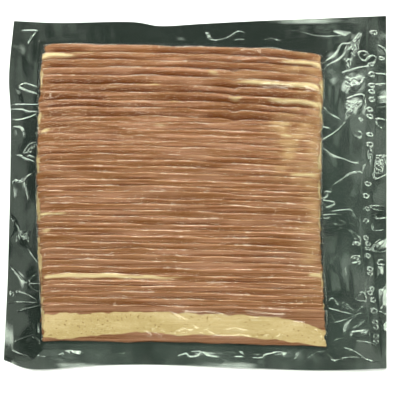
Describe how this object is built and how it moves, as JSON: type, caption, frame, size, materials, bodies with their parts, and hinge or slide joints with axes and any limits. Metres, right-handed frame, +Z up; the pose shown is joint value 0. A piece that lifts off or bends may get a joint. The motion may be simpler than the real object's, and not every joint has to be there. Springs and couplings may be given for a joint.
{
  "type": "vacuum pack of turkey bacon",
  "caption": "Flat vacuum pack of shingled turkey bacon slices lying on a dark back film under a clear film, with a wide sealed margin all round.",
  "frame": {"origin": "on the surface that the pack lies on, under the middle of its outline", "axes": "+X along the slices, with the wide seal margin at +X; +Y from the whole front slice to the first slice laid; +Z up through the clear film"},
  "size_m": [0.3286, 0.3045, 0.0178],
  "materials": {
    "meat": "moist cured turkey, pink-brown with cream bands",
    "dark_film": "dark green-black packaging film",
    "clear_film": "clear glossy packaging film"
  },
  "bodies": {
    "root": {"back_film": "dark_film", "slice_01": "meat", "slice_02": "meat", "slice_03": "meat", "slice_04": "meat", "slice_05": "meat", "slice_06": "meat", "slice_07": "meat", "slice_08": "meat", "slice_09": "meat", "slice_10": "meat", "slice_11": "meat", "slice_12": "meat", "slice_13": "meat", "slice_14": "meat", "slice_15": "meat", "slice_16": "meat", "slice_17": "meat", "slice_18": "meat", "slice_19": "meat", "slice_20": "meat", "slice_21": "meat", "slice_22": "meat", "slice_23": "meat", "slice_24": "meat", "slice_25": "meat", "slice_26": "meat", "slice_27": "meat", "slice_28": "meat", "slice_29": "meat", "slice_30": "meat", "slice_31": "meat", "slice_32": "meat", "slice_33": "meat", "slice_34": "meat", "slice_35": "meat", "slice_36": "meat", "slice_37": "meat", "slice_38": "meat", "slice_39": "meat", "slice_40": "meat", "clear_film": "clear_film"}
  },
  "joints": []
}
